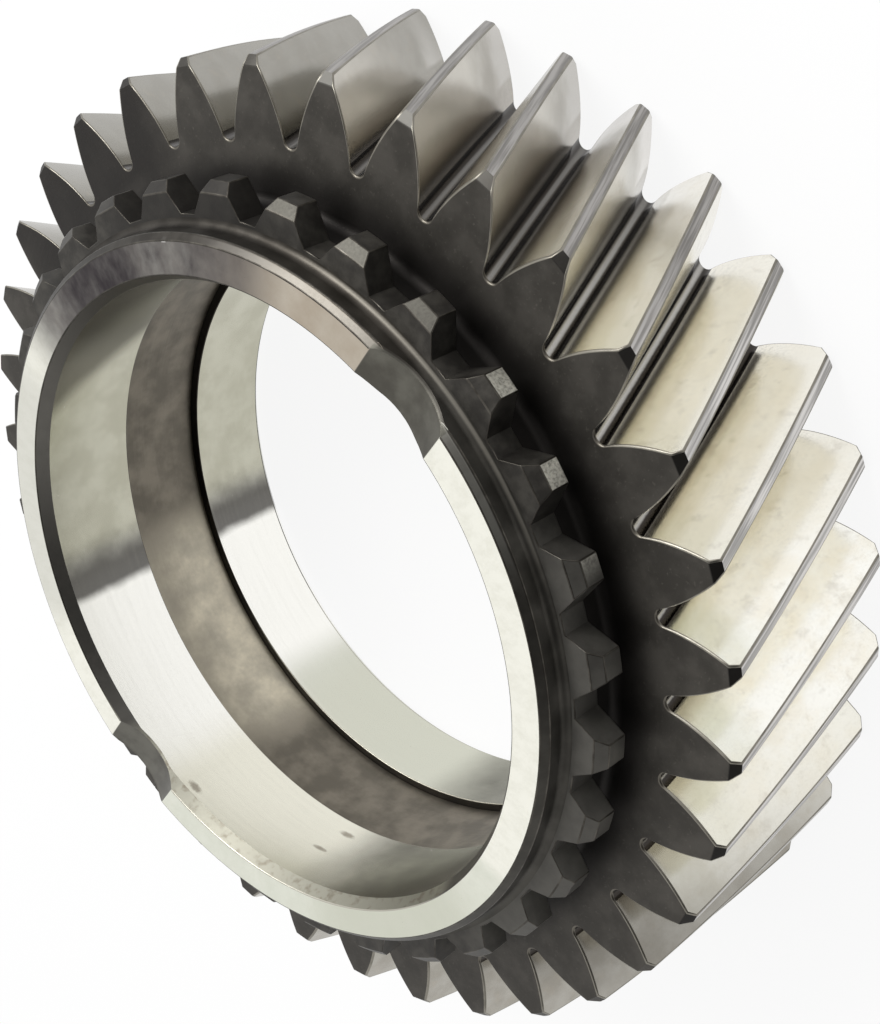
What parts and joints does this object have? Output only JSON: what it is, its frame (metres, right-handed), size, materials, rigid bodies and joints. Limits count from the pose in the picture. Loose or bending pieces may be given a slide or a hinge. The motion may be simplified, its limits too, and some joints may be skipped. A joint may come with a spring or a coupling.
{
  "type": "transmission gear",
  "caption": "Helical transmission gear with a ring of dog clutch teeth, a short notched collar and a large through bore.",
  "frame": {"origin": "centre of the flat back face, on the bore's axis", "axes": "+Z along the bore's axis, from the back face towards the collar; X through the two notches in the collar's rim"},
  "size_m": [0.157, 0.157, 0.0495],
  "materials": {
    "steel": "ground flanks, turned faces, a little oxide and oil stain"
  },
  "bodies": {
    "root": {"transmission_gear": "steel"}
  },
  "joints": []
}
